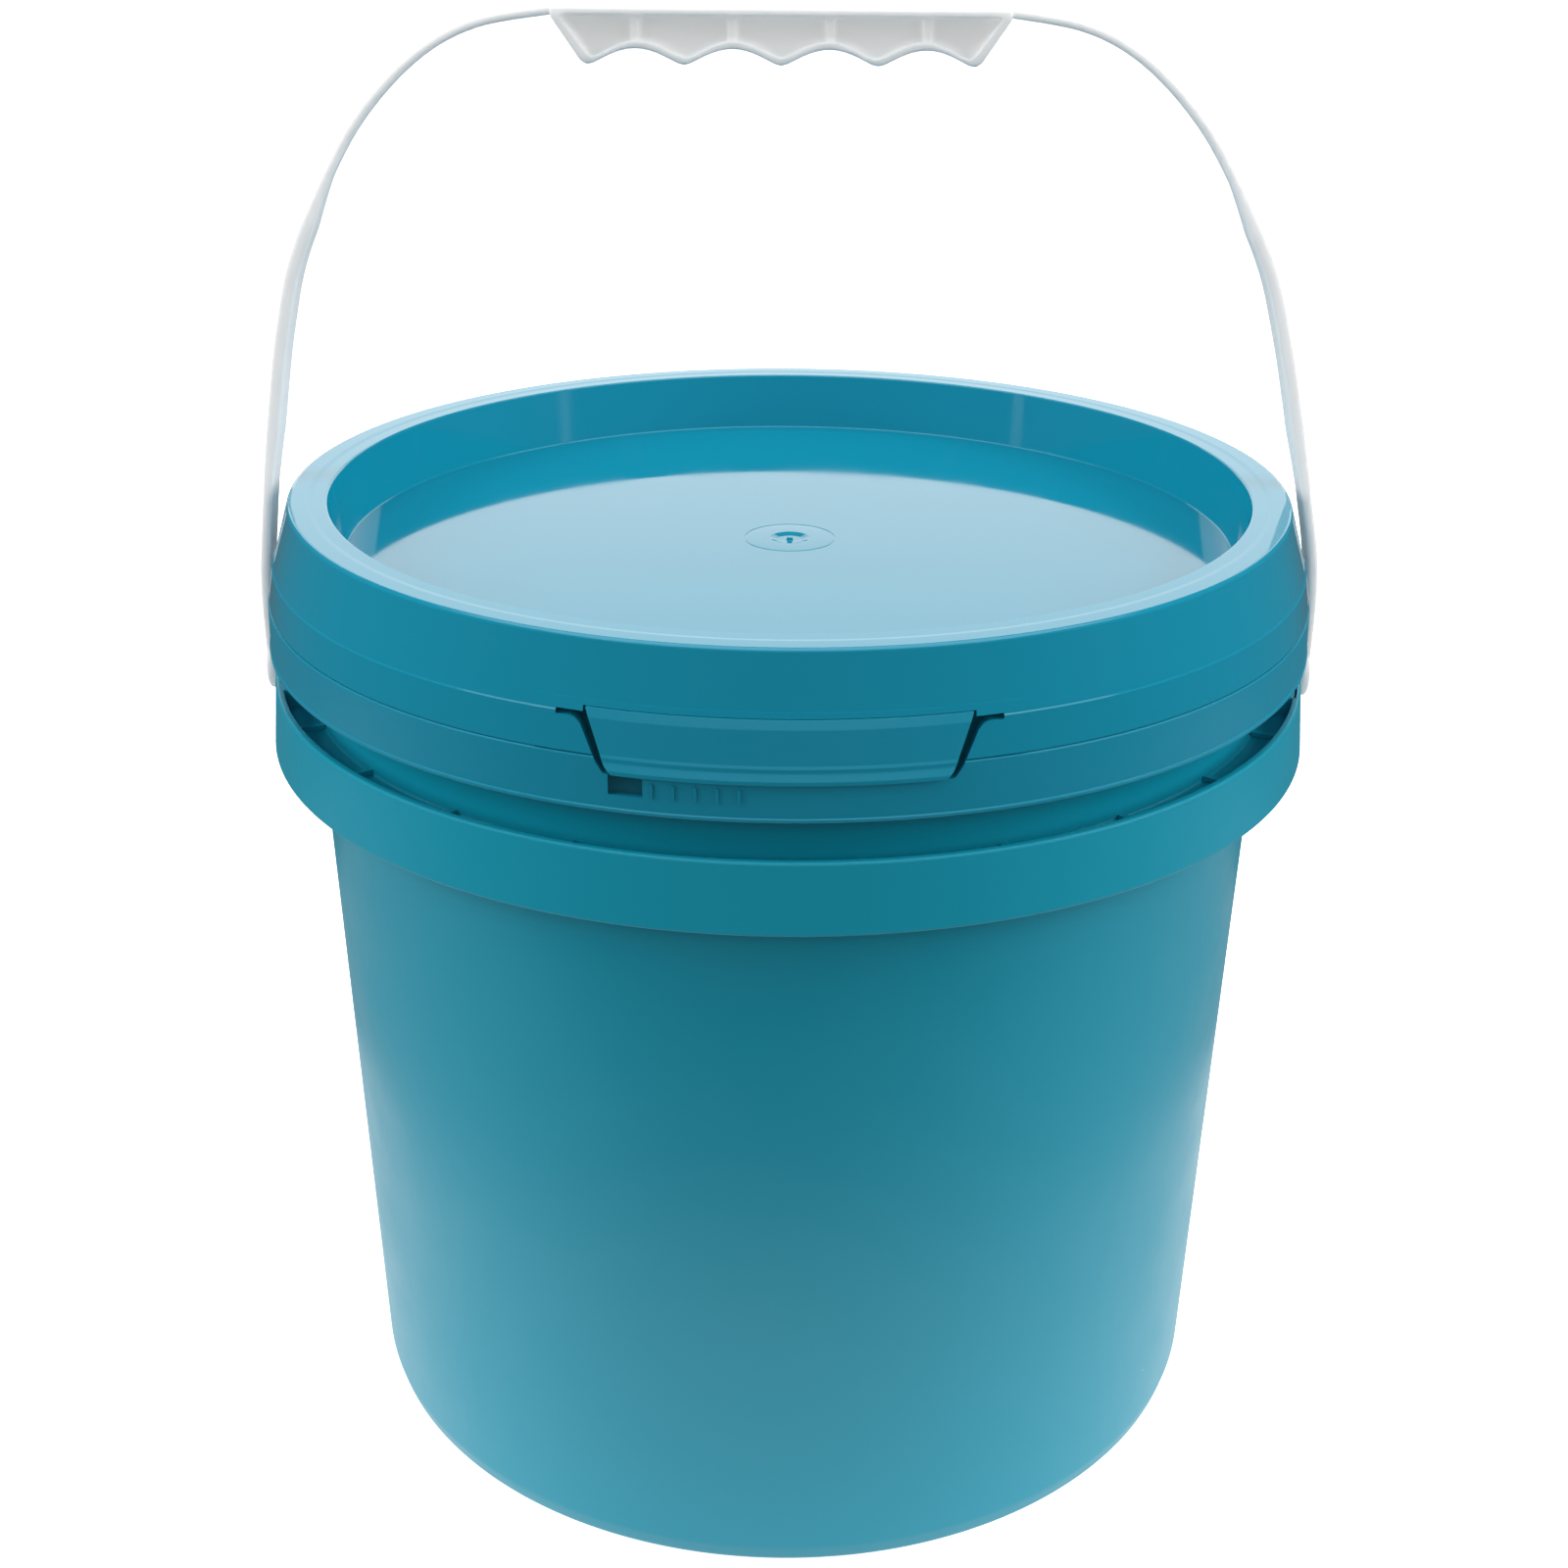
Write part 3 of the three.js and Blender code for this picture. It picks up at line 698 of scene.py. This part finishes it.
def grip_outline(inset=0.0):
    """Straight top, slanting ends, finger scallops with rounded cusps; inset draws the outline in."""
    half = FINGERS * FINGER_PITCH / 2
    lower = []
    steps = 14
    for f in range(FINGERS):
        for k in range(1 if f else 0, steps + 1):
            share = k / steps
            wave = math.hypot(math.sin(math.pi * share), CUSP_BLUNT) - CUSP_BLUNT
            wave /= math.hypot(1, CUSP_BLUNT) - CUSP_BLUNT
            x = -half + FINGER_PITCH * (f + share)
            x *= (half - 0.55 * inset) / half
            lower.append((x, BAIL_TOP - CUSP_DROP + (CUSP_DROP - CROWN_DROP) * wave + inset))
    end_low = half + END_SLANT - 0.9 * inset
    end_high = GRIP_HALF - 3.0 * MM - 1.3 * inset
    rise = 0.9 * MM
    top = BAIL_TOP - inset
    shoulder = BAIL_TOP - max(inset, STRAP_T)
    corners = [
        (end_high, top, 0.5 * inset),
        (-end_high, top, 0.5 * inset),
        (-end_high, shoulder, 0),
        (-end_low, lower[0][1] + rise, 1.6 * MM),
    ]
    corners += [(x, z, 0) for x, z in lower]
    corners += [(end_low, lower[-1][1] + rise, 1.6 * MM), (end_high, shoulder, 0)]
    if inset >= STRAP_T:
        corners = [c for i, c in enumerate(corners) if i not in (2, len(corners) - 1)]
    return rounded(corners)


def sway(obj, shift):
    """Leans the bail a little to one side, as a limber strap does."""
    for vertex in obj.data.vertices:
        share = ramp(vertex.co.z, LID_TOP - 20 * MM, BAIL_TOP)
        start = ramp(share, 0, 0.12)
        vertex.co.x += shift * math.sin(math.pi / 2 * share) * start * (2 - start)


def make_bail():
    upright = Matrix.Rotation(math.pi / 2, 4, "X")
    half = GRIP_W / 2
    rim = 1.9 * MM
    web = half - 2.2 * MM
    rib_half = 0.9 * MM
    rib_low = BAIL_TOP - CROWN_DROP + 0.6 * MM
    rib_high = BAIL_TOP - 1 * MM
    shell = prism("grip", grip_outline(), -half, half, upright)
    for low, high in ((-half - 1 * MM, -web), (web, half + 1 * MM)):
        combined(shell, [prism("hollow", grip_outline(rim), low, high, upright)], "DIFFERENCE")
    pieces = [shell]
    for k in range(FINGERS):
        x = (k - (FINGERS - 1) / 2) * FINGER_PITCH
        outline = [(x - rib_half, rib_low), (x + rib_half, rib_low),
                   (x + rib_half, rib_high), (x - rib_half, rib_high)]
        pieces.append(prism("grip_rib", outline, -half + 0.8 * MM, half - 0.8 * MM, upright))
    arm_in = ARM_OUT - ARM_T
    for side in (-1, 1):
        pieces.append(make_arm(side))
        stations = [
            (DISC_R, arm_in, ARM_OUT, 0.5 * MM),
            (PIN_R, POCKET_IN + 2.3 * MM, arm_in + 0.8 * MM, 0.0),
            (HEAD_R, POCKET_IN + 0.3 * MM, POCKET_IN + 2.5 * MM, 0.4 * MM),
        ]
        for radius, start, end, edge in stations:
            low, high = sorted((side * start, side * end))
            pieces.append(rod("pin", radius, low, high, edge))
    bail = joined("bail_moulding", pieces)
    remesh = bail.modifiers.new("one_body", "REMESH")
    remesh.mode = "VOXEL"
    remesh.voxel_size = VOXEL
    soften = bail.modifiers.new("moulded_edges", "SMOOTH")
    soften.factor = 0.5
    soften.iterations = 4
    applied(bail)
    sway(bail, LEAN)
    for face in bail.data.polygons:
        face.use_smooth = True
    return piece(bail, "bail", "bail_handle", waxy_white)


make_tub()
make_lid()
make_tear_band()
make_gasket()
make_pull_tab()
make_bail()

# ---- floor, light and camera ----------------------------------------------------------------------


def matt(name, colour):
    material = bpy.data.materials.new(name)
    material.use_nodes = True
    shader = material.node_tree.nodes["Principled BSDF"]
    shader.inputs["Base Color"].default_value = linear(colour)
    shader.inputs["Roughness"].default_value = 0.9
    shader.inputs["Emission Color"].default_value = linear(colour)
    shader.inputs["Emission Strength"].default_value = 0.95
    return material


floor = mesh_object("floor", [(-30, -30, 0), (30, -30, 0), (30, 30, 0), (-30, 30, 0)], [[0, 1, 2, 3]])
floor.data.materials.append(matt("pale_floor", "#F4F4F4"))
floor.visible_diffuse = False
floor.visible_glossy = False


def softbox(name, size, at, aim, radiance):
    """A rectangular soft light of an even radiance, which the camera doesn't see."""
    light = bpy.data.lights.new(name, "AREA")
    light.shape = "RECTANGLE"
    light.size, light.size_y = size
    light.energy = radiance * math.pi * size[0] * size[1]
    box = bpy.data.objects.new(name, light)
    box.location = at
    box.rotation_euler = (Vector(aim) - Vector(at)).to_track_quat("-Z", "Y").to_euler()
    box.visible_camera = False
    bpy.context.scene.collection.objects.link(box)
    return box


AIM = (0, 0, 0.2)
softbox("back_panel", (8.4, 5), (0, 8, 2.6), (0, 0, 0.4), 1.65)
softbox("top_panel", (3.0, 2.6), (0, 0.1, 2.4), AIM, 1.7)
keys = [softbox("front_key", (3.6, 1.0), (0, -2.6, 1.4), AIM, 2.1)]
for side, radiance in ((-1, 5.8), (1, 6.4)):
    keys.append(softbox("side_key", (2.0, 1.6), (side * 2.4, -0.3, 1.25), AIM, radiance))
for key in keys:
    key.visible_glossy = False


def floor_glow(name, width, depth, radiance):
    """The bright pool that a pale table throws up round the base of the pail."""
    light = bpy.data.lights.new(name, "AREA")
    light.shape = "ELLIPSE"
    light.size, light.size_y = width, depth
    light.energy = radiance * math.pi * math.pi * width * depth / 4
    glow = bpy.data.objects.new(name, light)
    glow.location = (0, 0, 0.5 * MM)
    glow.rotation_euler = (math.pi, 0, 0)
    glow.visible_camera = False
    bpy.context.scene.collection.objects.link(glow)


floor_glow("near_glow", 0.48, 0.50, 0.9)
floor_glow("wide_glow", 1.5, 0.56, 0.3)

# The sky is white to the camera and lights the pail only a little
SKY_LIGHT = 0.1
SKY_SEEN_EXTRA = 0.9
world = bpy.data.worlds.new("studio")
world.use_nodes = True
sky = world.node_tree.nodes["Background"]
sky.inputs["Color"].default_value = (1, 1, 1, 1)
seen = add(world.node_tree, "ShaderNodeLightPath").outputs["Is Camera Ray"]
strength = add(world.node_tree, "ShaderNodeMath", {"operation": "MULTIPLY_ADD"}, {0: seen})
strength.inputs[1].default_value = SKY_SEEN_EXTRA
strength.inputs[2].default_value = SKY_LIGHT
world.node_tree.links.new(strength.outputs[0], sky.inputs["Strength"])
bpy.context.scene.world = world
bpy.context.scene.view_settings.view_transform = "Standard"

PITCH, YAW, ROLL = (math.radians(a) for a in (22.87, 0.17, 0.51))
EYE = (0, -0.5808, LID_TOP + 0.1641)
ahead = Vector((math.sin(YAW) * math.cos(PITCH), math.cos(YAW) * math.cos(PITCH), -math.sin(PITCH)))
right = Vector((math.cos(YAW), -math.sin(YAW), 0))
up = right.cross(ahead)
across = right * math.cos(ROLL) + up * math.sin(ROLL)
above = up * math.cos(ROLL) - right * math.sin(ROLL)
camera = bpy.data.objects.new("camera", bpy.data.cameras.new("camera"))
camera.matrix_world = Matrix.Translation(EYE) @ Matrix((across, above, -ahead)).transposed().to_4x4()
camera.data.lens = 52.18
camera.data.sensor_width = 36
camera.data.shift_x = -0.0065
camera.data.shift_y = -0.0134
camera.data.clip_start = 0.01
bpy.context.scene.collection.objects.link(camera)
bpy.context.scene.camera = camera
